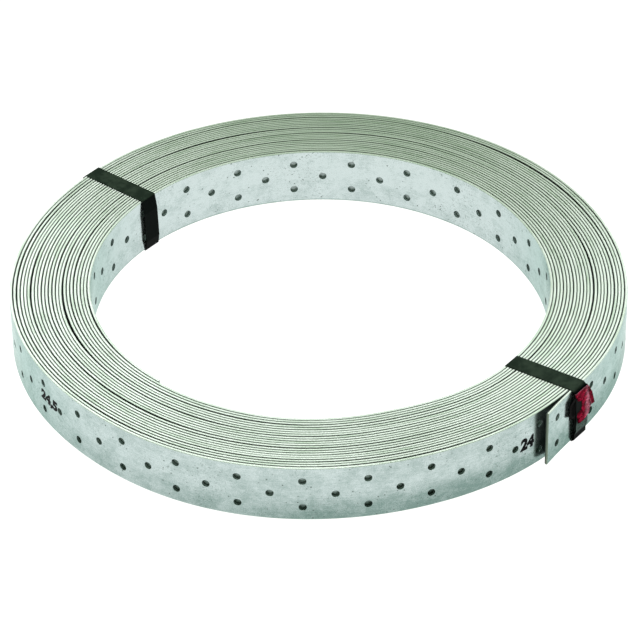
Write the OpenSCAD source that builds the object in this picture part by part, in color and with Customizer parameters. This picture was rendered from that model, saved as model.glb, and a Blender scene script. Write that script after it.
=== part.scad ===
// A coil of galvanised steel tension strap, punched with nail holes and
// tied by two steel bands. It stands on its end with the coil's axis upright.
// Millimetres. The origin is on the coil's axis, level with its lower end, and
// the flat free end faces -Y.

/* [Strap] */
// Width of the strap, which is the height of the coil
strap_w = 40; // [38:1:80]
// Thickness of the strap
strap_t = 2; // [1:0.1:3]
// Number of turns in the coil
turns = 23; // [3:1:40]
// Slack left between one turn and the next
turn_gap = 0.25; // [0.1:0.05:0.8]
// Diameter of the coil's eye
eye_d = 297; // [240:1:400]
// Depth to which the slack between the turns is open at each end of the coil
gap_depth = 3; // [1:0.5:8]

/* [Nail holes] */
// Diameter of each nail hole
hole_d = 5; // [3:0.1:6]
// Distance along the strap from one column of holes to the next
column_pitch = 20; // [12:1:30]
// Distance across the strap between the two holes of a pair
pair_spacing = 20; // [10:1:24]

/* [Ends of the strap] */
// Length of the free end that stands off the coil
free_end = 35; // [15:1:50]
// Distance from the tip of the free end to its pair of holes
tip_to_pair = 11.5; // [5:0.5:14]
// Direction in which the tip of the innermost turn lies
inner_tip_angle = 174.5; // [120:0.5:178]
// Distance from the inner tip to the first pair of holes behind it
inner_tip_to_pair = 23; // [6:0.5:30]
// Direction in which every turn starts to close in on the next
settle_from = 180; // [180:1:200]
// Angle through which a turn closes in by one pitch
settle_sweep = 60; // [45:5:65]

/* [Bands] */
// Width of a band
band_w = 13; // [8:0.5:16]
// Thickness of a band
band_t = 0.5; // [0.3:0.05:0.6]
// Direction of the band over the free end
front_band_angle = -90.6; // [-93:0.1:-89]
// Direction of the opposite band
rear_band_angle = 87.2; // [60:0.1:120]
// Space between the coil's outer wall and the upright leg of a band
leg_standoff = 2.6; // [1.5:0.1:6]
// Distance that a band reaches past the coil's outer wall before it bends down
corner_reach = 0.3; // [0.2:0.1:1]
// Length of the lap where the two ends of a band lie on each other
lap_length = 32; // [16:1:33]

/* [Seals] */
// Length of a seal along the band
seal_length = 26; // [18:1:28]
// Thickness of a seal's sheet
seal_t = 0.6; // [0.4:0.05:0.8]
// Height of each notch in a seal's edge
notch_h = 4; // [2:0.5:6]
// Depth of each notch in a seal's edge, which is also the length of the tab cut from it
notch_depth = 4; // [2:0.5:4.5]
// Distance between the two notches in one edge
notch_spacing = 9.5; // [6:0.5:12]
// Angle at which the tabs stand out from the seal's face
tab_angle = 50; // [20:5:70]

/* [Hidden] */

$fn = 96;
// Running clearance between pieces that lie on each other
fit_gap = 0.05;
// Distance that a cutting shape runs past the face it opens
past = 1;
// Angle that the settling stretch is turned past each of its ends before it is trimmed
past_angle = 5;
// Direction in which the free end leaves the coil
free_end_angle = -90;
// Angle through which a band bends at each corner of its leg
corner_turn = 45;

// Step that keeps the walls of two stretches of the coil from lying edge on edge
seam_step = 0.01;

pitch = strap_t + turn_gap;
eye_r = eye_d / 2;
last_turn = turns - 1;
outer_r = turn_r(last_turn) + strap_t;
settle_to = settle_from + settle_sweep;

// While they close in, the turns run about an axis set off from the coil's own.
settle_offset = pitch / 2 / sin(settle_sweep / 2);
settle_toward = settle_from + settle_sweep / 2 - 90;
settle_axis = settle_offset * [cos(settle_toward), sin(settle_toward)];

// Inner radius of turn i, where turn 0 is the innermost.
function turn_r(i) = eye_r + i * pitch;

// Radius about the set-off axis of a wall that starts to close in from radius r.
function settle_r(r) = norm(r * [cos(settle_from), sin(settle_from)] - settle_axis);

// Radius about the coil's own axis, in direction a, of that same wall.
function settling_wall_r(a, r) =
    settle_offset * cos(a - settle_toward)
    + sqrt(pow(settle_r(r), 2) - pow(settle_offset * sin(a - settle_toward), 2));

// Radius of the coil's outer wall, with a running through one turn from the free end.
function outer_wall_r(a) =
    a < settle_from ? outer_r : a < settle_to ? settling_wall_r(a, outer_r) : outer_r - pitch;

// Radius of the coil's inner wall, with a running back from the inner tip through one turn.
function inner_wall_r(a) =
    a > settle_to - 360 ? eye_r : a > settle_from - 360 ? settling_wall_r(a, eye_r + pitch) : eye_r + pitch;

// Columns of holes alternate: an even one holds a pair, an odd one a single hole.
function column_heights(k) =
    k % 2 == 0 ? [(strap_w - pair_spacing) / 2, (strap_w + pair_spacing) / 2] : [strap_w / 2];

// Angle along a turn of mid radius r that matches a length of strap.
function angle_of(length, r) = length / r * 180 / PI;

outer_mid_r = outer_r - strap_t / 2;
inner_mid_r = eye_r + strap_t / 2;
last_flat_column = floor((free_end - tip_to_pair - hole_d / 2 - fit_gap) / column_pitch);
first_outer_column = ceil((free_end - tip_to_pair + hole_d) / column_pitch);
last_outer_column = floor((2 * PI * outer_mid_r - tip_to_pair) / column_pitch);
last_inner_column = floor((2 * PI * inner_mid_r - inner_tip_to_pair) / column_pitch);

// A section through a build-up of turns between the radii r_in and r_out, open
// at both ends of the coil along the gaps, each of which is [inner, outer] radii.
module coil_section(r_in, r_out, gaps) {
    difference() {
        translate([r_in, 0]) square([r_out - r_in, strap_w]);
        for (gap = gaps, z = [-past, strap_w - gap_depth])
            translate([gap[0], z]) square([gap[1] - gap[0], gap_depth + past]);
    }
}

// Turns i to j, running round about the coil's own axis.
module round_stretch(from, to, i, j) {
    rotate_extrude(start = from, angle = to - from)
        coil_section(turn_r(i), turn_r(j) + strap_t, [for (k = [i + 1:j]) [turn_r(k) - turn_gap, turn_r(k)]]);
}

// The stretch where each turn closes in to become the turn inside it.
module settling_stretch() {
    gaps = [for (k = [2:last_turn]) [settle_r(turn_r(k) - turn_gap) - seam_step, settle_r(turn_r(k)) + seam_step]];
    intersection() {
        translate(settle_axis) rotate_extrude(start = settle_from - past_angle, angle = settle_sweep + 2 * past_angle)
            coil_section(settle_r(turn_r(1)) + seam_step, settle_r(outer_r) - seam_step, gaps);
        rotate_extrude(start = settle_from, angle = settle_sweep)
            translate([0, -past]) square([outer_r + pitch, strap_w + 2 * past]);
    }
}

// A nail hole in direction a, sunk from the radius r_from to the radius r_to.
module nail_hole(a, r_from, r_to, z) {
    rotate([0, 0, a]) translate([r_from, 0, z]) rotate([0, 90, 0]) cylinder(d = hole_d, h = r_to - r_from);
}

module outer_holes() {
    for (k = [first_outer_column:last_outer_column]) {
        a = free_end_angle + angle_of(tip_to_pair + k * column_pitch - free_end, outer_mid_r);
        for (z = column_heights(k)) nail_hole(a, outer_wall_r(a) - pitch, outer_wall_r(a) + past, z);
    }
}

module inner_holes() {
    for (k = [0:last_inner_column]) {
        a = inner_tip_angle - angle_of(inner_tip_to_pair + k * column_pitch, inner_mid_r);
        for (z = column_heights(k)) nail_hole(a, inner_wall_r(a) - past, inner_wall_r(a) + pitch, z);
    }
}

// The flat free end, which leaves the coil on a tangent at its lowest Y.
module free_end_plate() {
    translate([-free_end, -outer_r, 0]) difference() {
        cube([free_end, strap_t, strap_w]);
        for (k = [0:last_flat_column], z = column_heights(k))
            translate([tip_to_pair + k * column_pitch, -past, z]) rotate([-90, 0, 0]) cylinder(d = hole_d, h = strap_t + 2 * past);
    }
}

module strap() {
    color("lightsteelblue") {
        difference() {
            union() {
                round_stretch(settle_to - 360, free_end_angle, 0, last_turn - 1);
                round_stretch(free_end_angle, inner_tip_angle, 0, last_turn);
                round_stretch(inner_tip_angle, settle_from, 1, last_turn);
                settling_stretch();
            }
            outer_holes();
            inner_holes();
        }
        free_end_plate();
    }
}

// A flat band touches the round wall of the eye along its two edges.
band_eye_r = sqrt(pow(eye_r, 2) - pow(band_w / 2, 2));
leg_r = outer_r + leg_standoff;
corner_r = outer_r + corner_reach;
bevel = leg_r - corner_r;

// The outline that a band is drawn round, grown outwards by g, as radius and height.
function band_outline(g) =
    let (mitre = g * tan(corner_turn / 2))
    [
        [band_eye_r - g, -g],
        [corner_r + mitre, -g],
        [leg_r + g, bevel - mitre],
        [leg_r + g, strap_w - bevel + mitre],
        [corner_r + mitre, strap_w + g],
        [band_eye_r - g, strap_w + g]
    ];

module band(direction) {
    rotate([90, 0, direction]) translate([0, 0, -band_w / 2]) linear_extrude(band_w) {
        difference() {
            polygon(band_outline(fit_gap + band_t));
            polygon(band_outline(fit_gap));
        }
        translate([leg_r + fit_gap + band_t, strap_w - bevel - lap_length]) square([band_t, lap_length]);
    }
}

// A seal is a flat sleeve pressed round the lap, just under the corner of the leg.
// Both of its edges are notched, and the tab cut from each notch stands out.
channel_w = band_w + 2 * fit_gap;
channel_t = 2 * band_t + 2 * fit_gap;
seal_side = channel_w / 2 + seal_t;
tab_root = seal_side - notch_depth;
notch_heights = [seal_length - notch_spacing, seal_length + notch_spacing] / 2;

// A tab's outline as radius past the channel's inner face and distance from the seal's
// middle, joined to the sheet along its root.
module tab_outline() {
    run = notch_depth * [sin(tab_angle), cos(tab_angle)];
    rise = seal_t * [cos(tab_angle), -sin(tab_angle)];
    polygon([
        [channel_t, tab_root - seal_t],
        [channel_t, tab_root],
        [channel_t, tab_root] + run,
        [channel_t, tab_root] + run + rise,
        [channel_t + seal_t, tab_root - seal_t * tan(tab_angle / 2)],
        [channel_t + seal_t, tab_root - seal_t]
    ]);
}

module seal(direction) {
    rotate([0, 0, direction]) translate([leg_r, 0, strap_w - bevel - fit_gap - seal_length]) {
        difference() {
            translate([-seal_t, -seal_side, 0]) cube([channel_t + 2 * seal_t, 2 * seal_side, seal_length]);
            translate([0, -channel_w / 2, -past]) cube([channel_t, channel_w, seal_length + 2 * past]);
            for (side = [-1, 1], z = notch_heights)
                translate([0, side * (seal_side - notch_depth / 2 + past / 2), z])
                    cube([2 * (channel_t + seal_t), notch_depth + past, notch_h], center = true);
        }
        for (side = [0, 1], z = notch_heights)
            translate([0, 0, z]) mirror([0, side, 0]) linear_extrude(notch_h - 2 * fit_gap, center = true) tab_outline();
    }
}

module front_band() { color("darkslategray") band(front_band_angle); }

module rear_band() { color("darkslategray") band(rear_band_angle); }

module front_seal() { color("crimson") seal(front_band_angle); }

module rear_seal() { color("crimson") seal(rear_band_angle); }

strap();
front_band();
rear_band();
front_seal();
rear_seal();
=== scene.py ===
"""A roll of perforated steel tension strap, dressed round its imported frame.

The strap is made flat, as it comes from the punch, and then wound: every point of
the flat strip is given by its distance along the strip, its height across it and its
depth under the outer face, and the winding turns those three numbers into a place on
the coil. The tie bands are strips bent along a path, and the seals are folded sheets.
"""

import logging
import math
from dataclasses import dataclass
from enum import Enum
from typing import Any

import bpy
import numpy as np
from mathutils import Matrix, Vector


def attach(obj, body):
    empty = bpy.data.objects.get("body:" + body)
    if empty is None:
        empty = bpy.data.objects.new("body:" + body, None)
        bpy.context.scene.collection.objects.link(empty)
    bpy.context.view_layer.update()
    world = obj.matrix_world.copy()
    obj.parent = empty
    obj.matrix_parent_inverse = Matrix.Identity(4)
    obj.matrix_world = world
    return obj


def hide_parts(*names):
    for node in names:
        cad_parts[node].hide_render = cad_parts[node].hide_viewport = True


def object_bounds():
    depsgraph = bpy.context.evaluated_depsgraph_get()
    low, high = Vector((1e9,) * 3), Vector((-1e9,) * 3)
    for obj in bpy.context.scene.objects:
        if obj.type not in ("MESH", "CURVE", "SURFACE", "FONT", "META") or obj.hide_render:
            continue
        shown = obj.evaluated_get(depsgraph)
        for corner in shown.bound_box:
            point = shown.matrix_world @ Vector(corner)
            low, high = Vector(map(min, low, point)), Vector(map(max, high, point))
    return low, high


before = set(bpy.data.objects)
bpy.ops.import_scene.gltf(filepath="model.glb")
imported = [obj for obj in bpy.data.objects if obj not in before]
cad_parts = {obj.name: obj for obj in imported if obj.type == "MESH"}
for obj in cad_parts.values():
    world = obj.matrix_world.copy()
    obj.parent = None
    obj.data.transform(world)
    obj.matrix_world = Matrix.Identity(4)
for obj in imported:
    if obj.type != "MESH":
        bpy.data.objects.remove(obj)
CAD_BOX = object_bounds()

Array = np.ndarray
MM = 0.001
TURN = 2 * math.pi
WELD = 2e-7
UP = np.array([0.0, 0.0, 1.0])
STRAP_WIDTH = 40.0 * MM
FRONT, REAR = math.radians(-90.6), math.radians(87.2)
log = logging.getLogger("strap_roll")


# --------------------------------------------------------------------------- shader tools


class Signal:
    """A number that varies over a surface, held by one socket of a node."""

    def __init__(self, nodes: "Nodes", socket: bpy.types.NodeSocket) -> None:
        """Keep the socket and the tree that it belongs to."""
        self.nodes, self.socket = nodes, socket

    def _math(self, operation: str, *values: "Amount") -> "Signal":
        """Add one Math node.

        Args:
            operation: the node's operation.
            values: the node's inputs in order.

        Returns:
            The result as a signal.
        """
        made = self.nodes.add("ShaderNodeMath", {"operation": operation}, dict(enumerate(values)))
        return self.nodes.out(made)

    def __add__(self, other: "Amount") -> "Signal":
        """Sum."""
        return self._math("ADD", self, other)

    def __radd__(self, other: float) -> "Signal":
        """Sum with the signal on the right."""
        return self._math("ADD", other, self)

    def __sub__(self, other: "Amount") -> "Signal":
        """Difference."""
        return self._math("SUBTRACT", self, other)

    def __rsub__(self, other: float) -> "Signal":
        """Difference with the signal on the right."""
        return self._math("SUBTRACT", other, self)

    def __mul__(self, other: "Amount") -> "Signal":
        """Product."""
        return self._math("MULTIPLY", self, other)

    def __rmul__(self, other: float) -> "Signal":
        """Product with the signal on the right."""
        return self._math("MULTIPLY", other, self)

    def most(self, other: "Amount") -> "Signal":
        """The larger of two values."""
        return self._math("MAXIMUM", self, other)

    def least(self, other: "Amount") -> "Signal":
        """The smaller of two values."""
        return self._math("MINIMUM", self, other)

    def ramp(self, low: float, high: float) -> "Signal":
        """A smooth step from 0 at low to 1 at high, or the other way round if high is less."""
        ends = (low, high, 0.0, 1.0) if low < high else (high, low, 1.0, 0.0)
        settings = {"interpolation_type": "SMOOTHSTEP"}
        made = self.nodes.add("ShaderNodeMapRange", settings, dict(enumerate((self, *ends))))
        return self.nodes.out(made)


Amount = Signal | float
Colour = tuple[float, float, float]


class Nodes:
    """The node tree of one material."""

    def __init__(self, name: str) -> None:
        """Start a material with its shader and output joined."""
        self.material = bpy.data.materials.new(name)
        self.material.use_nodes = True
        self.tree = self.material.node_tree
        self.tree.nodes.clear()
        self.shader = self.add("ShaderNodeBsdfPrincipled", {}, {})
        output = self.add("ShaderNodeOutputMaterial", {}, {})
        self.tree.links.new(self.shader.outputs[0], output.inputs["Surface"])

    def add(self, kind: str, settings: dict[str, Any], values: dict[Any, Any]) -> bpy.types.Node:
        """Add one node.

        Args:
            kind: the node's type.
            settings: the node's own properties, set first.
            values: its inputs by name or number, each a signal, a socket or a constant.

        Returns:
            The node.
        """
        node = self.tree.nodes.new(kind)
        for key, value in settings.items():
            setattr(node, key, value)
        for key, value in values.items():
            self.feed(node.inputs[key], value)
        return node

    def feed(self, socket: bpy.types.NodeSocket, value: Any) -> None:
        """Join a signal to an input, or set the input to a constant.

        Args:
            socket: the input.
            value: a signal, a socket, a number, a vector, or a colour without its alpha.
        """
        source = value.socket if isinstance(value, Signal) else value
        if isinstance(source, bpy.types.NodeSocket):
            self.tree.links.new(source, socket)
        elif socket.type == "RGBA":
            socket.default_value = (*source, 1.0)
        else:
            socket.default_value = source

    def out(self, node: bpy.types.Node, name: str | int = 0) -> Signal:
        """One output of a node as a signal."""
        return Signal(self, node.outputs[name])

    def place(self) -> Signal:
        """The piece's own coordinates in metres."""
        return self.out(self.add("ShaderNodeTexCoord", {}, {}), "Object")

    def attribute(self, name: str) -> Signal:
        """A number stored on the mesh."""
        return self.out(self.add("ShaderNodeAttribute", {"attribute_name": name}, {}), "Fac")

    def strip(self, scale: tuple[float, float]) -> Signal:
        """The place on the flat strip, as a vector of distance along it and across it.

        Args:
            scale: how much each is multiplied by.

        Returns:
            The scaled vector.
        """
        made = self.add("ShaderNodeUVMap", {"uv_map": "strip"}, {})
        values = {0: made.outputs[0], 1: (*scale, 1.0)}
        return self.out(self.add("ShaderNodeVectorMath", {"operation": "MULTIPLY"}, values))

    def noise(self, where: Signal, scale: float, detail: float = 2.0, rough: float = 0.5) -> Signal:
        """Cloudy noise from 0 to 1 about a middle of 0.5."""
        values = {"Vector": where, "Scale": scale, "Detail": detail, "Roughness": rough}
        return self.out(self.add("ShaderNodeTexNoise", {}, values), 0)

    def cells(self, where: Signal, scale: float, output: str) -> Signal:
        """Cells of a Voronoi pattern, by the distance to their points or by a random colour each."""
        return self.out(self.add("ShaderNodeTexVoronoi", {}, {"Vector": where, "Scale": scale}), output)

    def random_of(self, colour: Signal) -> Signal:
        """One channel of a random colour, as a number."""
        return self.out(self.add("ShaderNodeSeparateColor", {}, {0: colour}), 0)

    def blend(self, share: Amount, first: Any, second: Any) -> Signal:
        """Mix two colours.

        Args:
            share: how much of the second one shows, from 0 to 1.
            first: a colour or a signal that carries one.
            second: the same.

        Returns:
            The mixed colour.
        """
        settings = {"data_type": "RGBA", "clamp_factor": True}
        return self.out(self.add("ShaderNodeMix", settings, {0: share, 6: first, 7: second}), 2)

    def surface(self, **sockets: Any) -> None:
        """Set the shader's sockets, each named in lower case, to a signal, a number or a colour."""
        for name, value in sockets.items():
            self.feed(self.shader.inputs[name.replace("_", " ").title().replace("Ior", "IOR")], value)

    def relief(self, height: Signal, depth: float) -> None:
        """Raise and sink the surface's shading.

        Args:
            height: the height from 0 to 1.
            depth: what a height of 1 is in metres.
        """
        bump = self.add("ShaderNodeBump", {}, {"Strength": 1.0, "Distance": depth, "Height": height})
        self.surface(normal=self.out(bump))


# --------------------------------------------------------------------------- finishes


@dataclass(frozen=True)
class GalvanisedSteel:
    """Zinc-coated strip: bright clouded faces with dark specks, dull edges, and dark gaps between turns.

    Little light reaches the gap between two turns, so the faces that line it are painted
    dark, as shade, for a few millimetres in from each edge, and partly so behind the nail holes.
    The walls are also painted darker towards their lower edges, as shade.
    """

    face: Colour = (0.55, 0.625, 0.62)
    cloud: Colour = (0.18, 0.265, 0.24)
    speck: Colour = (0.06, 0.08, 0.07)
    edge: Colour = (0.80, 0.85, 0.79)
    edge_dull: Colour = (0.40, 0.53, 0.38)
    cut: Colour = (0.20, 0.25, 0.19)
    # Painted shade in the gaps between turns and behind the free end.
    between: Colour = (0.006, 0.007, 0.006)
    glance: Colour = (0.63, 0.75, 0.71)
    metal: float = 0.95
    edge_metal: float = 0.2
    width: float = STRAP_WIDTH
    gap_starts: tuple[float, float] = (0.06 * MM, 0.6 * MM)
    gap_ends: tuple[float, float] = (6.2 * MM, 4.0 * MM)
    behind_holes: float = 0.35
    cut_face: tuple[float, float] = (0.20 * MM, 0.08 * MM)
    # Painted shade: darker towards the lower edge, in a thin line along the lower rim inside, and more near
    # the tip and one turn on.
    shaded_height: tuple[float, float] = (24.0 * MM, 2.0 * MM)
    rim_shade_height: tuple[float, float] = (1.8 * MM, 0.6 * MM)
    shaded_near_tip: tuple[float, float] = (0.6, 0.3)
    shaded_one_turn_on: tuple[float, float] = (0.98, 1.12)
    grain: float = 0.006 * MM

    def painted_gap_shade(self, n: Nodes, across: Signal) -> Signal:
        """How dark the gap between two turns makes the faces that line it.

        Args:
            n: the material's nodes.
            across: the height across the strip.

        Returns:
            A share from 0 to 1 of painted shade. It rises just inside the strip's edge, falls to
            what shows behind the holes, and is nearly full behind the free end.
        """
        inset = across.least(self.width - across)
        fading = inset.ramp(*self.gap_ends) * (1.0 - self.behind_holes) + self.behind_holes
        lined = n.attribute("closed") * inset.ramp(*self.gap_starts) * fading
        return lined.most(n.attribute("shut") * 0.9)

    def wall_shade(self, n: Nodes, across: Signal, from_tip: Signal) -> Signal:
        """How much painted shade darkens the zinc: most near the outer wall's lower edge, by the tip.

        Args:
            n: the material's nodes.
            across: the height across the strip.
            from_tip: the distance along the strip.

        Returns:
            The share, which is below 0 where the zinc is brighter than usual.
        """
        outside, low = n.attribute("outside"), across.ramp(*self.shaded_height)
        more_shade = from_tip.ramp(*self.shaded_one_turn_on).most(from_tip.ramp(*self.shaded_near_tip))
        outer = outside * (0.08 + more_shade * 0.05 + low * (0.24 + more_shade * 0.38))
        return outer + (1.0 - outside) * (low * 0.12 + across.ramp(*self.rim_shade_height) * 0.7 - 0.15)

    def edges(self, n: Nodes, flat: Signal) -> Signal:
        """The colour of the slit edges, which runs in long bright and dull stretches."""
        run = n.noise(n.strip((0.5, 0.0)), 30.0, 3.0, 0.65)
        fine = n.noise(flat, 2400.0, 1.0, 0.5)
        return n.blend(run.ramp(0.42, 0.74) * 0.7 + (fine - 0.5) * 0.4, self.edge, self.edge_dull)

    def make(self) -> bpy.types.Material:
        """Build the material.

        Returns:
            The material, which reads the strap's flat map and its edge, closed, shut,
            across, from_tip and outside attributes.
        """
        n = Nodes("galvanised_steel")
        flat, along = n.strip((1.0, 1.0)), n.strip((0.12, 1.0))
        edge, across, from_tip = n.attribute("edge"), n.attribute("across"), n.attribute("from_tip")
        gap_shade, cut = self.painted_gap_shade(n, across), from_tip.ramp(*self.cut_face)
        spangle = n.random_of(n.cells(flat, 420.0, "Color"))
        cloud = n.noise(flat, 60.0, 4.0, 0.66)
        lines = n.noise(along, 900.0, 2.0, 0.6)
        grit = n.noise(flat, 1300.0, 2.0, 0.6)
        dirty = n.noise(flat, 26.0, 2.0).ramp(0.44, 0.62)
        speck = n.cells(flat, 300.0, "Distance").ramp(0.22, 0.08)
        speck = speck * n.noise(flat, 90.0, 2.0).ramp(0.50, 0.62)
        fleck = n.noise(flat, 620.0, 2.0, 0.7).ramp(0.58, 0.69) * dirty
        tone = cloud.ramp(0.36, 0.70) * 0.3 + spangle * 0.16 + (lines - 0.5) * 0.45 + (grit - 0.5) * 0.9
        # Painted shade towards the walls' lower edges; the inside is a little lighter.
        tone = tone + self.wall_shade(n, across, from_tip)
        faces = n.blend(tone, self.face, self.cloud)
        faces = n.blend((speck * 0.85).most(fleck * 0.55), faces, self.speck)
        colour = n.blend(cut * 0.9, n.blend(edge, faces, self.edges(n, flat)), self.cut)
        # Painted shade in the gaps between turns and behind the free end.
        colour = n.blend(gap_shade, colour, self.between)
        dull = gap_shade.most(cut)
        metal = (self.metal + edge * (self.edge_metal - self.metal)) * (1.0 - dull * 0.8)
        rough = 0.18 + spangle * 0.05 + (cloud - 0.5) * 0.08 + edge * 0.2 + dull * 0.4
        n.surface(base_color=colour, metallic=metal, roughness=rough, specular_tint=self.glance)
        n.relief(spangle * 0.3 + cloud * 0.5 + grit * 0.2, self.grain)
        return n.material


@dataclass(frozen=True)
class BlackBandPaint:
    """Black lacquer on thin steel band: greenish dust and worn spots on top, a paler lower lap, and painted
    shade: near-black sides and the blackest lacquer on the legs.
    """

    # The blackest lacquer; off the top it also stands in for the shade on the legs.
    lacquer: Colour = (0.0022, 0.0042, 0.0036)
    dusty: Colour = (0.013, 0.021, 0.015)
    dustier: Colour = (0.028, 0.041, 0.029)
    bare: Colour = (0.12, 0.15, 0.10)
    pale_low_lap: Colour = (0.09, 0.13, 0.12)
    # The sides, painted near-black as the shade under the band's edges.
    cut: Colour = (0.001, 0.0015, 0.001)
    shine: float = 0.015
    grain: float = 0.02 * MM

    def make(self) -> bpy.types.Material:
        """Build the material.

        Returns:
            The material, which reads the piece's own coordinates and its side, scuff and top attributes.
        """
        n = Nodes("black_band_paint")
        where, side, pale_lap = n.place(), n.attribute("side"), n.attribute("pale_lap")
        cloud = n.noise(where, 110.0, 3.0, 0.6)
        fine = n.noise(where, 1400.0, 2.0, 0.6)
        spots = n.cells(where, 330.0, "Distance").ramp(0.20, 0.08)
        spots = spots * n.noise(where, 120.0, 1.0).ramp(0.60, 0.68)
        dust = n.blend(cloud.ramp(0.40, 0.70), self.dusty, self.dustier)
        # Dust and worn spots on the top; elsewhere the blackest lacquer, partly as painted shade on the
        # legs.
        colour = n.blend(n.attribute("top"), self.lacquer, n.blend(spots * 0.35, dust, self.bare))
        # Paler on the lower lap, below the seal.
        colour = n.blend(pale_lap * fine.ramp(0.30, 0.60), colour, self.pale_low_lap)
        # Painted shade: the sides near-black, for the gap under the band's edges.
        colour = n.blend(side, colour, self.cut)
        n.surface(base_color=colour, roughness=0.38 + cloud * 0.14, specular_ior_level=self.shine)
        n.relief(fine * 0.4 + cloud * 0.6, self.grain)
        return n.material


@dataclass(frozen=True)
class RedSealPaint:
    """Red lacquer on the seal's sheet, with a painted pink sheen on its bent-out side, a pink top edge that
    is the bare cut edge and a painted highlight, and painted shade, near-black, on the sides, lips and
    flaps.
    """

    lacquer: Colour = (0.10, 0.001, 0.009)
    bright: Colour = (0.42, 0.007, 0.042)
    # Painted sheen on the bent-out side and painted highlight on the top edge.
    sheen_pink: Colour = (0.72, 0.28, 0.38)
    # Painted shade on the sides, lips and flaps.
    folded: Colour = (0.004, 0.003, 0.003)
    metal: float = 0.35
    shine: float = 0.05
    dents: float = 0.1 * MM

    def make(self) -> bpy.types.Material:
        """Build the material.

        Returns:
            The material, which reads the piece's own coordinates and its rubbed, rim and folded attributes.
        """
        n = Nodes("red_seal_paint")
        where, sheen_share, folded = n.place(), n.attribute("sheen_share"), n.attribute("folded")
        cloud = n.noise(where, 300.0, 2.0, 0.5)
        fine = n.noise(where, 1700.0, 2.0, 0.6)
        colour = n.blend(cloud.ramp(0.40, 0.62), self.lacquer, self.bright)
        # Painted pink sheen on the bent-out side, then a painted highlight along the top edge.
        colour = n.blend(sheen_share * fine.ramp(0.30, 0.60) * 0.8, colour, self.sheen_pink)
        colour = n.blend(n.attribute("rim"), colour, self.sheen_pink)
        # Painted shade on the sheet behind the front and on the flaps.
        colour = n.blend(folded, colour, self.folded)
        metal, rough = self.metal - folded * self.metal, 0.36 + folded * 0.4
        n.surface(base_color=colour, metallic=metal, roughness=rough, specular_ior_level=self.shine)
        n.relief(cloud * 0.7 + fine * 0.3, self.dents)
        return n.material


@dataclass(frozen=True)
class BlackInk:
    """Roller-printed black ink, slightly thin where the zinc shows through."""

    ink: Colour = (0.002, 0.002, 0.003)
    thin: Colour = (0.010, 0.012, 0.013)
    rough: float = 0.6
    shine: float = 0.05

    def make(self) -> bpy.types.Material:
        """Build the material."""
        n = Nodes("black_ink")
        wear = n.noise(n.place(), 1100.0, 3.0, 0.6)
        colour = n.blend(wear.ramp(0.5, 0.75), self.ink, self.thin)
        n.surface(base_color=colour, roughness=self.rough, specular_ior_level=self.shine)
        return n.material


@dataclass(frozen=True)
class PaleFloorPaint:
    """Pale studio floor that glows evenly, like a light table."""

    colour: Colour = (0.20, 0.20, 0.20)
    worn: Colour = (0.198, 0.198, 0.198)
    glow: Colour = (1.0, 1.0, 1.0)
    glow_strength: float = 1.03
    rough: float = 0.9

    def make(self) -> bpy.types.Material:
        """Build the material."""
        n = Nodes("pale_floor")
        cloud = n.noise(n.place(), 3.0, 2.0)
        n.surface(base_color=n.blend(cloud, self.colour, self.worn), roughness=self.rough)
        n.surface(emission_color=self.glow, emission_strength=self.glow_strength)
        return n.material


# --------------------------------------------------------------------------- mesh tools


class Skin:
    """A mesh gathered as face corners, each with its own normal, and welded at the end.

    Corners are kept in the coordinates that the piece is drawn in, and a map gives
    their places and normals in space.
    """

    def __init__(self) -> None:
        """Start with no faces."""
        self.corners: list[Array] = []
        self.normals: list[Array] = []

    def add(self, corners: Array, normals: Array) -> None:
        """Add faces of one corner count.

        Args:
            corners: faces by corners by 3.
            normals: the same shape, or one that spreads to it.
        """
        self.corners.append(corners)
        self.normals.append(np.broadcast_to(normals, corners.shape))

    def sheet(self, points: Array, normals: Array) -> None:
        """Add a grid of quads, whose rows run down and columns run along."""
        self.add(quads_of(points), quads_of(np.broadcast_to(normals, points.shape)))

    def repeated(self, offsets: Array) -> "Skin":
        """Copies of this skin, each moved by one offset, as a new skin."""
        made = Skin()
        for corners, normals in zip(self.corners, self.normals):
            moved = offsets[:, None, None, :] + corners[None]
            spread = np.broadcast_to(normals[None], moved.shape)
            made.add(moved.reshape(-1, *corners.shape[1:]), spread.reshape(-1, *corners.shape[1:]))
        return made

    def take(self, other: "Skin") -> None:
        """Add another skin's faces."""
        self.corners += other.corners
        self.normals += other.normals

    def welded(self) -> tuple[Array, list[Array], Array]:
        """Join corners that lie on each other.

        Returns:
            The vertices, the faces as one index array for each corner count, and one
            normal for each face corner in that order.
        """
        every = np.concatenate([c.reshape(-1, 3) for c in self.corners])
        _, first, index = np.unique(weld_keys(every), axis=0, return_index=True, return_inverse=True)
        index, faces, start = index.reshape(-1), [], 0
        for corners in self.corners:
            count = corners.shape[0] * corners.shape[1]
            faces.append(index[start : start + count].reshape(corners.shape[:2]))
            start += count
        return every[first], faces, np.concatenate([n.reshape(-1, 3) for n in self.normals])


def weld_keys(points: Array) -> Array:
    """Points as whole numbers of the weld distance, which are equal where points are joined."""
    return np.round(points / WELD).astype(np.int64)


def carried(grid: Array, values: Array, places: Array) -> Array:
    """Values known on a grid, looked up for the welded vertices that came from it.

    Args:
        grid: points on the grid, by 3.
        values: what is known at each of them, by the number of values.
        places: the welded vertices.

    Returns:
        The values at each vertex.
    """
    points = grid.reshape(-1, 3)
    keys = weld_keys(np.concatenate([points, places]))
    index = np.unique(keys, axis=0, return_inverse=True)[1].reshape(-1)
    known = np.zeros((index.max() + 1, values.shape[-1]))
    known[index[: len(points)]] = values.reshape(-1, values.shape[-1])
    return known[index[len(points) :]]


def quads_of(grid: Array) -> Array:
    """The corners of each cell of a grid, turning from row to next row and then along."""
    cells = np.stack([grid[:-1, :-1], grid[1:, :-1], grid[1:, 1:], grid[:-1, 1:]], axis=2)
    return cells.reshape(-1, 4, grid.shape[-1])


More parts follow.
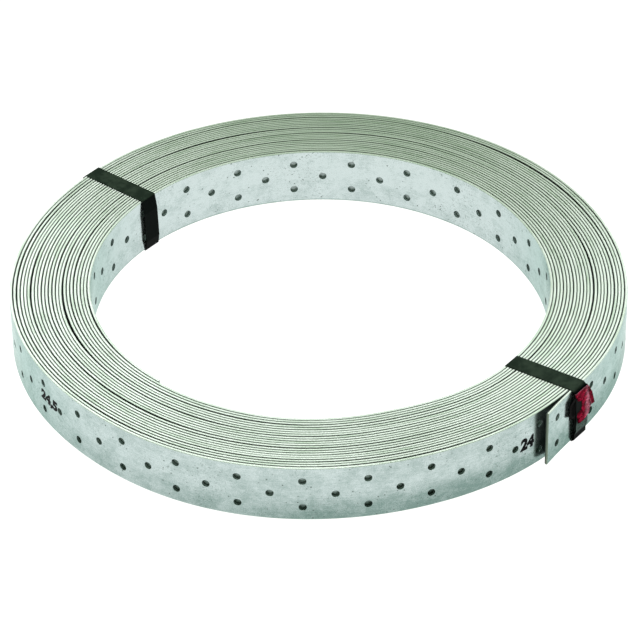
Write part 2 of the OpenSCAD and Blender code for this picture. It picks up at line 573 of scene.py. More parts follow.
def new_object(
    name: str,
    places: Array,
    faces: list[Array],
    normals: Array,
    numbers: dict[str, Array],
    strip: Array | None = None,
) -> bpy.types.Object:
    """Make a mesh object from arrays.

    Args:
        name: the object's name.
        places: its vertices.
        faces: one index array for each corner count.
        normals: a normal for each face corner.
        numbers: attributes by name, one value for each vertex.
        strip: two strip coordinates for each vertex, for the UV map.

    Returns:
        The object, linked to the scene, at the origin.
    """
    mesh = bpy.data.meshes.new(name)
    loops = np.concatenate([f.reshape(-1) for f in faces]).astype(np.int32)
    sizes = np.concatenate([np.full(len(f), f.shape[1]) for f in faces])
    mesh.vertices.add(len(places))
    mesh.vertices.foreach_set("co", places.astype(np.float32).reshape(-1))
    mesh.loops.add(len(loops))
    mesh.loops.foreach_set("vertex_index", loops)
    mesh.polygons.add(len(sizes))
    mesh.polygons.foreach_set("loop_start", np.concatenate([[0], np.cumsum(sizes)[:-1]]).astype(np.int32))
    mesh.update(calc_edges=True)
    for key, values in numbers.items():
        mesh.attributes.new(key, "FLOAT", "POINT").data.foreach_set("value", values.astype(np.float32))
    if strip is not None:
        mesh.uv_layers.new(name="strip").data.foreach_set("uv", strip[loops].astype(np.float32).reshape(-1))
    mesh.validate()
    mesh.shade_smooth()
    mesh.normals_split_custom_set(normals.astype(np.float32))
    made = bpy.data.objects.new(name, mesh)
    bpy.context.scene.collection.objects.link(made)
    return made


def unit(vectors: Array) -> Array:
    """Vectors at length 1."""
    return vectors / np.maximum(np.linalg.norm(vectors, axis=-1, keepdims=True), 1e-12)


def wave(phase: Array, rates: Array, sizes: Array, starts: Array) -> Array:
    """A sum of cosines: for each rate, size times the cosine of rate times phase plus start."""
    return np.tensordot(np.cos(phase[..., None] * rates + starts), sizes, axes=(-1, 0))


# --------------------------------------------------------------------------- the winding


@dataclass
class Winding:
    """Turns a place on the flat strip into a place on the coil.

    The strip leaves its tip straight and then winds inwards. Its outer face lies at
    the radius R(a) after an angle a: R falls by the thickness and one slack for each
    whole turn, and the fall is made in one settling stretch of the turn. The slack
    differs from place to place, as it does in a coil that was wound by machine and
    has sprung back a little.

    The form lists degrees of turning, then how far the outside stands off its circle
    and the slack of all the turns together, both in millimetres.
    """

    outer_r: float = 200.0 * MM
    thickness: float = 2.0 * MM
    layers: int = 22
    flat_end: float = 35.0 * MM
    tip_turn: float = math.radians(264.5)
    settle_from: float = math.radians(270.0)
    settle_sweep: float = math.radians(60.0)
    lift: float = 0.16 * MM
    bands_at: tuple[float, float] = (FRONT + TURN / 4, REAR + TURN / 4)
    near_band: float = 0.12
    held: float = 0.35
    tip_spring: float = 1.5 * MM
    per_turn: int = 720
    blend: float = 24.0
    seed: int = 7
    outer_mid: float = 199.3 * MM
    inner_mid: float = 149.5 * MM
    form: tuple[tuple[float, float, float], ...] = (
        (0, 0.7, 2.5), (12, 1.5, 3.2), (30, 0.7, 4.0), (60, -1.5, 4.6), (90, -2.0, 4.1),
        (135, -2.0, 4.1), (180, -1.7, 4.4), (205, -0.6, 5.7), (220, 0.4, 6.4), (238, -0.4, 6.0),
        (256, -1.2, 5.4), (270, -0.3, 6.3), (283, 1.1, 7.2), (298, 1.8, 6.1), (316, 1.7, 6.1),
        (326, 1.4, 6.5), (338, 1.6, 4.6), (350, 1.5, 2.4),
    )

    def shape(self, column: int) -> Array:
        """One column of the coil's form at each step of a turn.

        The listed values are joined by straight lines round the turn and then smoothed
        by a cosine bell of the blend's width.

        Args:
            column: 1 for how far the outside stands off its circle, 2 for the slack of all turns.

        Returns:
            The values in metres.
        """
        rows = np.array(self.form)
        degrees = np.arange(self.per_turn) * 360.0 / self.per_turn
        straight = np.interp(degrees, rows[:, 0], rows[:, column], period=360.0)
        off = (degrees + 180.0) % 360.0 - 180.0
        bell = np.where(np.abs(off) < self.blend / 2, 1 + np.cos(TURN * off / self.blend), 0.0)
        return np.fft.ifft(np.fft.fft(straight) * np.fft.fft(bell / bell.sum())).real * MM

    def __post_init__(self) -> None:
        """Work out the radius, the height error and the length at each step of angle.

        The slack of each turn is its share of all the slack there. The shares are the
        exponentials of a sum of cosines whose rates are a whole number and a part of a
        turn, so that they drift smoothly from one turn to the next. Lengths are measured
        along a middle line whose radius falls steadily from the outer turn to the inner one.
        """
        draw = np.random.default_rng(self.seed)
        step = np.arange(self.per_turn) * TURN / self.per_turn
        angle = step[None, :] + TURN * np.arange(self.layers + 1)[:, None]
        whole = np.array([0, 0, 1, 1, 2, 3, 4, 6, 9])
        share = np.array([3, 7, 5, 10, 9, 4, 8, 6, 13])
        rates = whole + share / self.layers
        sizes = np.array([0.38, 0.46, 0.38, 0.46, 0.42, 0.36, 0.30, 0.22, 0.16])
        spread = np.exp(wave(angle, rates, sizes, draw.uniform(0, TURN, len(rates))))
        gaps = self.shape(2) * spread / spread[1:].sum(axis=0)
        gaps[0] = 0.0
        fall = self.thickness + gaps[1, 0]
        settle = np.clip((step - self.settle_from) / self.settle_sweep, 0, 1)
        first = self.outer_r + self.shape(1) - fall * (1 - np.cos(math.pi * settle)) / 2
        layer = np.arange(self.layers + 1)[:, None]
        steps = np.cumsum(np.where(layer > 0, self.thickness + gaps, 0.0), axis=0)
        self.angles, self.radii = angle.reshape(-1), (first[None, :] - steps).reshape(-1)
        ride = np.array([0.31, 0.77, 1.19, 1.86, 2.43])
        bobs = np.array([0.35, 0.3, 0.2, 0.1, 0.05])
        heights = wave(self.angles, ride, bobs, draw.uniform(0, TURN, len(ride)))
        from_band = np.min([np.abs(np.sin((self.angles - at) / 2)) for at in self.bands_at], axis=0)
        self.heights = self.lift * heights * np.clip(from_band / self.near_band - self.held, 0, 1)
        self.end_angle = TURN * self.layers + self.tip_turn
        even = [TURN, self.end_angle - TURN]
        middle = np.interp(self.angles, even, [self.outer_mid, self.inner_mid])
        arcs = (middle[1:] + middle[:-1]) / 2 * np.diff(self.angles)
        self.lengths = self.flat_end + np.concatenate([[0], np.cumsum(arcs)])
        self.length = float(np.interp(self.end_angle, self.angles, self.lengths))

    def length_at(self, turned: float) -> float:
        """How far along the strip an angle of turning lies."""
        return float(np.interp(turned, self.angles, self.lengths))

    def length_toward(self, degrees: float) -> float:
        """How far along the strip a direction round the axis lies, on the outermost turn."""
        return self.length_at(math.radians(degrees + 90.0))

    def place(self, flat: Array) -> Array:
        """Places in space of points on the strip.

        Args:
            flat: points by 3: distance along, height across, and depth under the outer face.

        Returns:
            The same number of points in space.
        """
        along, across, depth = flat[..., 0], flat[..., 1], flat[..., 2]
        turned = np.interp(along, self.lengths, self.angles)
        radius = np.interp(turned, self.angles, self.radii) - depth
        height = across + np.interp(turned, self.angles, self.heights)
        way = turned - TURN / 4
        before = np.minimum(along - self.flat_end, 0.0)
        spring = self.tip_spring * (before / self.flat_end) ** 2
        x = radius * np.cos(way) + before
        y = radius * np.sin(way) - spring
        return np.stack([x, y, height], axis=-1)

    def direction(self, flat: Array, way: Array) -> Array:
        """Directions in space of directions on the strip.

        Args:
            flat: points on the strip.
            way: a direction at each of them, in the same three coordinates.

        Returns:
            Unit directions in space.
        """
        along = flat[..., 0]
        turned = np.interp(along, self.lengths, self.angles) - TURN / 4
        before = np.minimum(along - self.flat_end, 0.0)
        lean = 2 * self.tip_spring * before / self.flat_end**2
        out = unit(np.stack([np.cos(turned) - lean, np.sin(turned), 0 * turned], axis=-1))
        forward = np.stack([-out[..., 1], out[..., 0], 0 * turned], axis=-1)
        return unit(way[..., :1] * forward + way[..., 1:2] * UP - way[..., 2:] * out)


# --------------------------------------------------------------------------- the strap


class Column(Enum):
    """What one column of nail holes holds."""

    PAIR = 0
    SINGLE = 1


FACE, BACK = np.array([0.0, 0.0, -1.0]), np.array([0.0, 0.0, 1.0])


@dataclass
class StrapCoil:
    """The perforated strap, made flat and wound into the coil."""

    winding: Winding
    width: float = STRAP_WIDTH
    edge_r: float = 0.95 * MM
    edge_steps: int = 3
    edge_full: float = 1.2
    edge_fade: float = 0.79
    hole_r: float = 2.5 * MM
    hole_ring: float = 1.0 * MM
    rim: float = 0.14 * MM
    cell: float = 10.0 * MM
    splits: int = 6
    edge_splits: int = 3
    pitch: float = 20.0 * MM
    tip_to_pair: float = 11.5 * MM
    inner_tip_to_pair: float = 23.0 * MM
    outer_columns: int = 64
    inner_columns: int = 46
    plain_step: float = math.radians(3.0)
    beyond_turn: float = 0.02
    before_end: float = 1.03

    def __post_init__(self) -> None:
        """Work out the lines that the strip is divided by across its width."""
        self.t = self.winding.thickness
        low = self.width / 2 - 1.5 * self.cell
        self.rows = low + self.cell * np.arange(4)
        ends = [self.edge_r, self.width - self.edge_r]
        parts = [np.linspace(ends[0], self.rows[0], self.edge_splits + 1)]
        parts += [np.linspace(a, a + self.cell, self.splits + 1)[1:] for a in self.rows[:-1]]
        parts += [np.linspace(self.rows[-1], ends[1], self.edge_splits + 1)[1:]]
        self.front_lines = np.concatenate(parts)
        self.back_lines = np.concatenate([[ends[0]], self.rows, [ends[1]]])

    def rim_line(self, front: Array, back: Array) -> tuple[Array, Array]:
        """The strip's section as one closed line, with its normals.

        It runs down the outer face, round the lower edge, up the inner face and round
        the upper edge. Each corner is a quarter circle in equal steps.

        Args:
            front: heights of its points on the outer face, rising.
            back: heights of its points on the inner face, rising.

        Returns:
            Points and normals, each by 3, with the first point repeated at the end.
        """
        e, w, t = self.edge_r, self.width, self.t
        turn = np.linspace(0, math.pi / 2, self.edge_steps + 1)
        down = [(e - e * math.sin(a), e - e * math.cos(a)) for a in turn[1:]]
        back_in = [(e - e * math.cos(a), t - e + e * math.sin(a)) for a in turn[:-1]]
        lower, low_ways = down + back_in, [(-math.sin(a), -math.cos(a)) for a in turn[1:]]
        low_ways += [(-math.cos(a), math.sin(a)) for a in turn[:-1]]
        upper, high_ways = [(w - z, d) for z, d in lower[::-1]], [(-z, d) for z, d in low_ways[::-1]]
        points = [(z, 0.0) for z in front[::-1]] + lower + [(z, t) for z in back] + upper
        normals = [(0.0, -1.0)] * len(front) + low_ways + [(0.0, 1.0)] * len(back) + high_ways
        rows = np.array([points + [(front[-1], 0.0)], normals + [(0.0, -1.0)]], float)
        points3, normals3 = np.concatenate([np.zeros((*rows.shape[:2], 1)), rows], axis=-1)
        return points3, normals3

    @staticmethod
    def tube(skin: Skin, line: tuple[Array, Array], along: Array, keep: slice = slice(None)) -> None:
        """Carry the section line, or a part of it, along the strip."""
        points, normals = line[0][keep], line[1][keep]
        grid = points[:, None, :] + np.array([1.0, 0.0, 0.0]) * along[None, :, None]
        skin.sheet(grid, normals[:, None, :])

    def rims(self, skin: Skin, along: Array) -> None:
        """Carry only the two rounded edges along the strip."""
        line = self.rim_line(self.back_lines[[0, -1]], self.back_lines[[0, -1]])
        size = 2 * self.edge_steps + 2
        self.tube(skin, line, along, slice(1, 1 + size))
        self.tube(skin, line, along, slice(1 + size, 1 + 2 * size))

    def hole(self, centre: float, across: float) -> Skin:
        """One punched hole with the square of strip round it.

        Rings of 24 points pass from the square to a circle, over the rounded rim and
        down the wall to the inner face, where four plates join it to the square again.

        Args:
            centre: the hole's distance along the strip.
            across: its height.

        Returns:
            The faces.
        """
        n, half, r, t = self.splits, self.cell / 2, self.hole_r, self.t
        side = np.linspace(-half, half, n + 1)[:-1]
        hold = np.full(n, half)
        runs = [np.column_stack(xy) for xy in ((side, -hold), (hold, side), (-side, hold), (-hold, -side))]
        square = np.concatenate(runs)
        turn = math.radians(-135) + TURN * np.arange(4 * n) / (4 * n)
        round_way = np.stack([np.cos(turn), np.sin(turn)], axis=-1)
        rim = self.rim
        profile = [(r + self.hole_ring, 0.0), (r + rim, 0.0), (r + 0.3 * rim, 0.3 * rim)]
        profile += [(r, rim), (r, t - rim), (r + rim, t)]
        rings = [np.column_stack([round_way * rad, np.full(4 * n, deep)]) for rad, deep in profile]
        grid = np.stack([np.column_stack([square, np.zeros(4 * n)])] + rings)
        grid = np.concatenate([grid, grid[:, :1]], axis=1)
        outward = np.column_stack([-round_way, np.zeros(4 * n)])
        outward = np.concatenate([outward, outward[:1]])
        slant = unit(outward + FACE)
        normals = np.stack([FACE + 0 * outward] * 3 + [slant, outward, outward, outward])
        grid[..., 0] += centre
        grid[..., 1] += across
        made = Skin()
        made.sheet(grid[::-1], normals[::-1])
        last = grid[-1]
        corners = np.array([(-half, -half), (half, -half), (half, half), (-half, half), (-half, -half)])
        for k in range(4):
            ends = np.array([(centre + corners[j, 0], across + corners[j, 1], t) for j in (k + 1, k)])
            made.add(np.concatenate([last[k * n : (k + 1) * n + 1], ends])[None], BACK)
        return made

    def column(self, kind: Column) -> Skin:
        """One pitch of the strip: a column of holes and the plain stretch after it.

        Args:
            kind: a pair of holes or a single one.

        Returns:
            The faces, with the column's centre at 0 along the strip.
        """
        made = Skin()
        half = self.cell / 2
        fine = np.linspace(-half, half, self.splits + 1)
        holed = {Column.PAIR: (0, 2), Column.SINGLE: (1,)}[kind]
        front = self.front_lines
        cuts = [0] + [self.edge_splits + k * self.splits for k in range(4)] + [len(front) - 1]
        for k in range(5):
            if k - 1 in holed:
                made.take(self.hole(0.0, self.rows[k - 1] + half))
                continue
            lines = front[cuts[k] : cuts[k + 1] + 1][::-1]
            height, along = np.meshgrid(lines, fine, indexing="ij")
            made.sheet(np.stack([along, height, 0 * along], axis=-1), FACE)
        low, high, t = self.back_lines[0], self.back_lines[-1], self.t
        for k, (a, b) in enumerate(zip(self.rows[:-1], self.rows[1:])):
            if k not in holed:
                made.add(np.array([[(-half, a, t), (-half, b, t), (half, b, t), (half, a, t)]]), BACK)
        under = [(x, low, t) for x in fine[::-1]] + [(x, self.rows[0], t) for x in (-half, half)]
        over = [(x, high, t) for x in fine] + [(x, self.rows[-1], t) for x in (half, -half)]
        for plate in (under, over):
            made.add(np.array([plate]), BACK)
        self.rims(made, fine)
        plain = np.array([half, self.pitch / 2, self.pitch - half])
        self.tube(made, self.rim_line(self.front_lines, self.back_lines), plain)
        return made

    def seam(self, skin: Skin, divided: float, plain: float) -> None:
        """Join a divided section to a plain one with one plate on each face.

        Args:
            skin: where the faces go.
            divided: where the section with all its dividing lines lies along the strip.
            plain: where the plain section lies.
        """
        for lines, deep, way in ((self.front_lines, 0.0, FACE), (self.back_lines, self.t, BACK)):
            many = [(divided, z, deep) for z in lines[::-1]]
            plate = np.array(many + [(plain, lines[0], deep), (plain, lines[-1], deep)])
            turned = (plain < divided) ^ (deep > 0)
            skin.add((plate[::-1] if turned else plate)[None], way)
        self.rims(skin, np.sort(np.array([divided, plain])))

    def strip(self) -> Skin:
        """The whole flat strip.

        Returns:
            Its faces: the tip, the outer punched zone, the plain middle, the inner
            punched zone and the inner tip.
        """
        skin, step = Skin(), np.array([self.pitch, 0.0, 0.0])
        full = self.rim_line(self.front_lines, self.back_lines)
        winding, end, half = self.winding, self.winding.length, self.cell / 2
        first, last = self.tip_to_pair, end - self.inner_tip_to_pair
        for kind in Column:
            outer = np.arange(kind.value, self.outer_columns, 2)
            inner = np.arange(kind.value, self.inner_columns, 2)
            places = np.concatenate([first + outer * self.pitch, last - inner * self.pitch])
            skin.take(self.column(kind).repeated(places[:, None] * step / self.pitch))
        self.tube(skin, full, np.array([0.0, (first - half) / 2, first - half]))
        start_plain = first + self.outer_columns * self.pitch - half
        end_plain = last - (self.inner_columns - 1) * self.pitch - half
        a, b = np.interp([start_plain, end_plain], winding.lengths, winding.angles)
        from_step, to_step = math.ceil(a / self.plain_step + 0.5), math.floor(b / self.plain_step - 0.5)
        turned = np.arange(from_step, to_step + 1) * self.plain_step
        middle = np.interp(turned, winding.angles, winding.lengths)
        self.seam(skin, start_plain, middle[0])
        self.seam(skin, end_plain, middle[-1])
        ends = self.front_lines[[0, -1]]
        self.tube(skin, self.rim_line(ends, ends), middle)
        tail = last + self.pitch - half
        self.tube(skin, full, np.linspace(tail, end, 3))
        ring, forward = full[0][:-1], np.array([1.0, 0.0, 0.0])
        skin.add(ring[::-1][None], -forward)
        skin.add((ring + end * forward)[None], forward)
        return skin

    def numbers(self, flat: Array) -> dict[str, Array]:
        """What the zinc's finish needs to know at each vertex.

        A face is closed where another turn lies on it: the inner face of the outermost
        turn, the outer face of the innermost one, and both faces between them. It is
        shut on the back of the flat free end. Closed and shut faces get painted shade.

        Args:
            flat: the vertices on the flat strip.

        Returns:
            The numbers by name.
        """
        along, across, depth = flat.T
        from_edge = np.minimum(across, self.width - across)
        turn = np.interp(along, self.winding.lengths, self.winding.angles) / TURN
        first, inner_face = turn < 1 + self.beyond_turn, depth > self.t / 2
        between = ~first & (turn < self.winding.end_angle / TURN - self.before_end)
        closed = np.where(first, inner_face, between | ~inner_face) & (along > self.winding.flat_end)
        return {
            "edge": np.clip(self.edge_full - from_edge / (self.edge_fade * self.edge_r), 0, 1),
            "closed": closed.astype(float),
            "shut": (inner_face & (along < self.winding.flat_end)).astype(float),
            "across": across,
            "from_tip": along,
            "outside": (along < self.winding.length / 2).astype(float),
        }

    def build(self) -> bpy.types.Object:
        """Make the strip, wind it, and put it in the strap's place.

        Returns:
            The coil.
        """
        flat, faces, ways = self.strip().welded()
        loops = np.concatenate([f.reshape(-1) for f in faces])
        normals = self.winding.direction(flat[loops], ways)
        along, across, depth = flat.T
        strip = np.column_stack([along, across + np.where(across > self.width / 2, depth, -depth)])
        coil = new_object("strap_coil", self.winding.place(flat), faces, normals, self.numbers(flat), strip)
        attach(coil, "root")
        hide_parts("strap")
        return coil


# --------------------------------------------------------------------------- the tie bands


def rounded_path(
    corners: list[tuple[float, float]], radius: float, bend_steps: int = 6, longest: float = 4.0 * MM
) -> Array:
    """A path of straight runs joined by arcs.

    Each corner is replaced by an arc that touches both runs, so its centre lies on the
    line that halves the corner. Straight runs are divided so that none is too long.

    Args:
        corners: the path's corners in order; the first and last are its ends.
        radius: the radius of every arc.
        bend_steps: steps in each arc.
        longest: the longest step on a straight run.

    Returns:
        Points by 2.
    """
    points = np.array(corners, float)
    parts = [points[:1]]
    for before, here, after in zip(points[:-2], points[1:-1], points[2:]):
        a, b = unit(before - here), unit(after - here)
        half = math.acos(float(np.clip(a @ b, -1, 1))) / 2
        reach = radius / math.tan(half)
        centre = here + unit(a + b) * radius / math.sin(half)
        start, end = here + a * reach - centre, here + b * reach - centre
        share = np.linspace(0, 1, bend_steps + 1)[:, None]
        parts.append(centre + radius * unit(start * (1 - share) + end * share))
    parts.append(points[-1:])
    rough = np.concatenate(parts)
    spans = np.linalg.norm(np.diff(rough, axis=0), axis=1)
    counts = np.maximum(np.ceil(spans / longest).astype(int), 1)
    at = np.repeat(np.arange(len(spans)), counts)
    share = (np.arange(len(at)) - np.repeat(np.cumsum(counts) - counts, counts)) / counts[at]
    fine = rough[at] * (1 - share[:, None]) + rough[at + 1] * share[:, None]
    return np.concatenate([fine, rough[-1:]])


@dataclass
class Slab:
    """A direction from the coil's axis, with radius, sideways and height as coordinates."""

    direction: float

    def axes(self) -> Array:
        """The three directions in space, as rows."""
        c, s = math.cos(self.direction), math.sin(self.direction)
        return np.array([[c, s, 0.0], [-s, c, 0.0], UP])

    def space(self, points: Array) -> Array:
        """Places in space of points given by radius, sideways distance and height."""
        return points @ self.axes()

    def drawn(self, places: Array) -> Array:
        """The radius, sideways distance and height of places in space."""
        return places @ self.axes().T


@dataclass
class TieBand:
    """One steel band round the coil's section, with its two ends lapped on the outer leg."""

    name: str
    node: str
    direction: float
    width: float = 13.0 * MM
    thickness: float = 0.5 * MM
    eye_r: float = 148.358 * MM
    leg_r: float = 202.6 * MM
    corner_r: float = 200.3 * MM
    height: float = STRAP_WIDTH
    gap: float = 0.05 * MM
    bend_r: float = 0.75 * MM
    lap_low: float = 5.0 * MM
    lap_high: float = 37.6 * MM
    joggle: float = 2.5 * MM
    inner_end: float = 3.0 * MM
    eye_side: float = 0.0
    eye_lean: float = 0.0
    leg_side: float = 0.0
    leg_lean: float = 0.0
    lap_side: float = 0.0
    pale_lap_top: float = 0.0
    top_depth: float = 0.2 * MM
    bow: float = 0.0
    bow_between: tuple[float, float] = (0.18, 0.74)
    round_r: float = 0.09 * MM

    def path(self) -> Array:
        """The band's middle line as radius and height, from its outer end round to its inner one."""
        g = self.gap + self.thickness / 2
        outer, second = self.leg_r + g, self.thickness + self.gap
        inner, low, high = self.eye_r - g, -g, self.height + g
        bevel, mitre = self.leg_r - self.corner_r, g * math.tan(math.pi / 8)
        foot, head = bevel - mitre, self.height - bevel + mitre
        corner = self.corner_r + mitre
        corners = [(outer + second, self.lap_high), (outer + second, self.lap_low + self.joggle)]
        corners += [(outer, self.lap_low), (outer, foot), (corner, low), (inner, low)]
        if self.bow:
            corners += [(inner - self.bow, self.height * share) for share in self.bow_between]
        corners += [(inner, high), (corner, high), (outer, head), (outer, self.lap_low + self.inner_end)]
        return rounded_path(corners, self.bend_r)

    def section(self) -> tuple[Array, Array]:
        """The band's thickness by its width with the four corners cut, and its normals."""
        h, w, r = self.thickness / 2, self.width / 2, self.round_r
        points = [(h, -w + r), (h, w - r), (h - r, w), (-h + r, w)]
        points += [(-h, w - r), (-h, -w + r), (-h + r, -w), (h - r, -w), (h, -w + r)]
        ways = [(1, 0), (1, 0), (0, 1), (0, 1), (-1, 0), (-1, 0), (0, -1), (0, -1), (1, 0)]
        return np.array(points), np.array(ways, float)

    def sideways(self, line: Array, on_lap: Array) -> Array:
        """How far each point of the path lies to one side.

        Args:
            line: the path.
            on_lap: 1 on the lap's outer layer and 0 elsewhere.

        Returns:
            The distances.
        """
        outward = np.clip((line[:, 0] - self.eye_r) / (self.leg_r - self.eye_r), 0, 1)
        drop = 1 - line[:, 1] / self.height
        eye, leg = self.eye_side + self.eye_lean * drop, self.leg_side + self.leg_lean * drop
        return (1 - outward) * eye + outward * leg + self.lap_side * on_lap

    def build(self) -> bpy.types.Object:
        """Carry the band's section along its path.

        The section stays square to the path. The path may lean sideways on the eye's
        side and on the outer leg, and the lap's outer layer may lie to one side.

        Returns:
            The band.
        """
        line = self.path()
        forward = unit(np.gradient(line, axis=0))
        across = np.stack([forward[:, 1], -forward[:, 0]], axis=-1)
        section, ways = self.section()
        beyond = line[:, 0] - self.leg_r - self.gap - self.thickness / 2
        on_lap = np.clip(beyond / (self.thickness + self.gap), 0, 1)
        radial, high = np.moveaxis(line + section[:, None, :1] * across, -1, 0)
        grid = np.stack([radial, self.sideways(line, on_lap) + section[:, None, 1], high], axis=-1)
        way_out, way_up = np.moveaxis(ways[:, None, :1] * across, -1, 0)
        normals = np.stack([way_out, ways[:, None, 1] + 0 * radial, way_up], axis=-1)
        slab, skin = Slab(self.direction), Skin()
        skin.sheet(slab.space(grid), slab.space(normals))
        for end, way in ((0, -1.0), (-1, 1.0)):
            ring = slab.space(grid[:-1, end] if end else grid[-2::-1, end])
            facing = slab.space(np.array([way * forward[end, 0], 0.0, way * forward[end, 1]]))
            skin.add(ring[None], facing)
        places, faces, ways3 = skin.welded()
        # Paint marks: the sides take painted shade, the lower lap is paler, and the top takes the dust.
        on_side = np.abs(section[:, 1])[:, None] > self.width / 2 - self.round_r / 2
        pale_low_lap = (line[:, 1] < self.pale_lap_top) & (on_lap > 0.5)
        on_top = line[:, 1] > self.height - self.top_depth
        known = np.stack(np.broadcast_arrays(on_side, pale_low_lap, on_top), axis=-1).astype(float)
        marks = carried(slab.space(grid), known, places)
        band = new_object(self.name, places, faces, ways3, dict(zip(("side", "pale_lap", "top"), marks.T)))
        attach(band, "root")
        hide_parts(self.node)
        return band


@dataclass
class Seal:
    """A folded red sleeve pressed round the lap, with its edges notched and bent out.

    The sheet's section is an open ring: a lip behind the band, a side, the front, the
    other side and the other lip. Its sides stand at left(z) and right(z), which run
    straight from one listed point to the next, so a notch is a step in them.
    """

    name: str
    node: str
    direction: float
    shift: float
    left: list[tuple[float, float]]
    right: list[tuple[float, float]]
    flaps: list[list[tuple[float, float, float]]]
    front_r: float = 204.0 * MM
    back_r: float = 202.25 * MM
    sheet: float = 0.55 * MM
    lip: float = 5.0 * MM
    lip_share: float = 0.45
    bend: float = 0.35 * MM
    crush: float = 0.22 * MM
    hollow: float = 0.45
    flare: float = 0.0
    flare_from: float = 3.6 * MM
    sheen_over: float = 3.0 * MM
    body_slack: float = 0.05 * MM
    rim_depth: float = 0.4 * MM
    # Where the painted shade starts behind the front, and how much the torn flaps get.
    fold_from: float = 0.4 * MM
    fold_over: float = 0.3 * MM
    flap_shade: float = 0.4
    fine_rows: int = 40
    front_steps: int = 12
    flap_steps: int = 6
    seed: int = 3

    def rows(self) -> Array:
        """Heights of the sheet's rows to a tenth of a millimetre, every listed corner among them."""
        listed = np.array([z for z, _ in self.left + self.right])
        fine = np.linspace(listed.min(), listed.max(), self.fine_rows)
        return np.unique(np.round(np.concatenate([listed, fine]), 4))

    @staticmethod
    def run(radius: Array | float, sideways: Array) -> Array:
        """One run of the section's points, spread over every height."""
        return np.stack(np.broadcast_arrays(np.asarray(radius, float), sideways), axis=-1)

    def section(self, low: Array, high: Array) -> Array:
        """The open ring at each height.

        Args:
            low: where the left side stands, by height.
            high: where the right side stands.

        Returns:
            Heights by points by 2: radius and sideways distance.
        """
        share = np.linspace(0, 1, self.front_steps + 1)
        lip = np.minimum(self.lip, (high - low) * self.lip_share)[:, None]
        bend, f, b = self.bend, self.front_r, self.back_r
        left, right = low[:, None], high[:, None]
        inward = np.array([[f - bend, (b + f) / 2, b + bend]])
        back_left = self.run(b, left + bend + lip * (1 - share[None, ::3]))
        side_left = self.run(inward[:, ::-1], left)
        front = self.run(f, left + bend + (right - left - 2 * bend) * share[None])
        side_right = self.run(inward, right)
        back_right = self.run(b, right - bend - lip * share[None, ::3])
        return np.concatenate([back_left, side_left, front, side_right, back_right], axis=1)

    def build(self) -> bpy.types.Object:
        """Fold the sheet, crush it a little, and bend its flaps out.

        Returns:
            The seal.
        """
        z = self.rows()
        low = np.interp(z, *np.array(sorted(self.left)).T)
        high = np.interp(z, *np.array(sorted(self.right)).T)
        ring = self.section(low, high)
        rates = np.array([[260.0, 340.0], [520.0, -410.0], [-330.0, 760.0], [900.0, 620.0]])
        draw = np.random.default_rng(self.seed)
        starts, sizes = draw.uniform(0, TURN, 4), np.array([0.4, 0.3, 0.2, 0.15])
        phase = ring[..., 1, None] * rates[:, 0] + z[:, None, None] * rates[:, 1] + starts
        bumps = (np.cos(phase) * sizes).sum(axis=-1) - self.hollow
        on_front = np.clip((ring[..., 0] - self.back_r) / (self.front_r - self.back_r), 0, 1)
        flared = self.flare * np.maximum(ring[..., 1] - self.flare_from, 0.0)
        radius = ring[..., 0] + self.crush * bumps * on_front + flared
        grid = np.stack([radius, ring[..., 1], z[:, None] + 0 * bumps], axis=-1)
        slab, skin = Slab(self.direction), Skin()
        shift = np.array([0.0, self.shift, 0.0])
        skin.sheet(slab.space(grid + shift)[::-1], UP)
        share = np.linspace(0, 1, self.flap_steps + 1)
        u, v = (axis[..., None] for axis in np.meshgrid(share, share, indexing="ij"))
        for flap in self.flaps:
            a, b, c, d = np.array(flap)
            patch = (1 - u) * ((1 - v) * a + v * b) + u * ((1 - v) * d + v * c)
            skin.sheet(slab.space(patch + shift), UP)
        places, faces, normals = skin.welded()
        outward, sideways, height = (slab.drawn(places) - shift).T
        on_body = sideways < np.interp(height, z, high) + self.body_slack
        # Painted pink sheen on the bent-out side and painted highlight along the top edge.
        bent = np.clip((sideways - self.flare_from) / self.sheen_over, 0, 1) * (self.flare > 0) * on_body
        rim = np.clip((height - z[-1]) / self.rim_depth + 1, 0, 1)
        # Painted shade: near-black behind the front, and partly on the torn flaps.
        folded = np.clip((self.front_r - self.fold_from - outward) / self.fold_over, 0, 1)
        folded = np.maximum(folded, self.flap_shade * ~on_body)
        seal = new_object(self.name, places, faces, normals, {"sheen_share": bent, "rim": rim, "folded": folded})
        seal.data.shade_smooth()
        wall = seal.modifiers.new("sheet", "SOLIDIFY")
        wall.thickness, wall.offset = self.sheet, 0.0
        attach(seal, "root")
        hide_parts(self.node)
        return seal


# --------------------------------------------------------------------------- the print


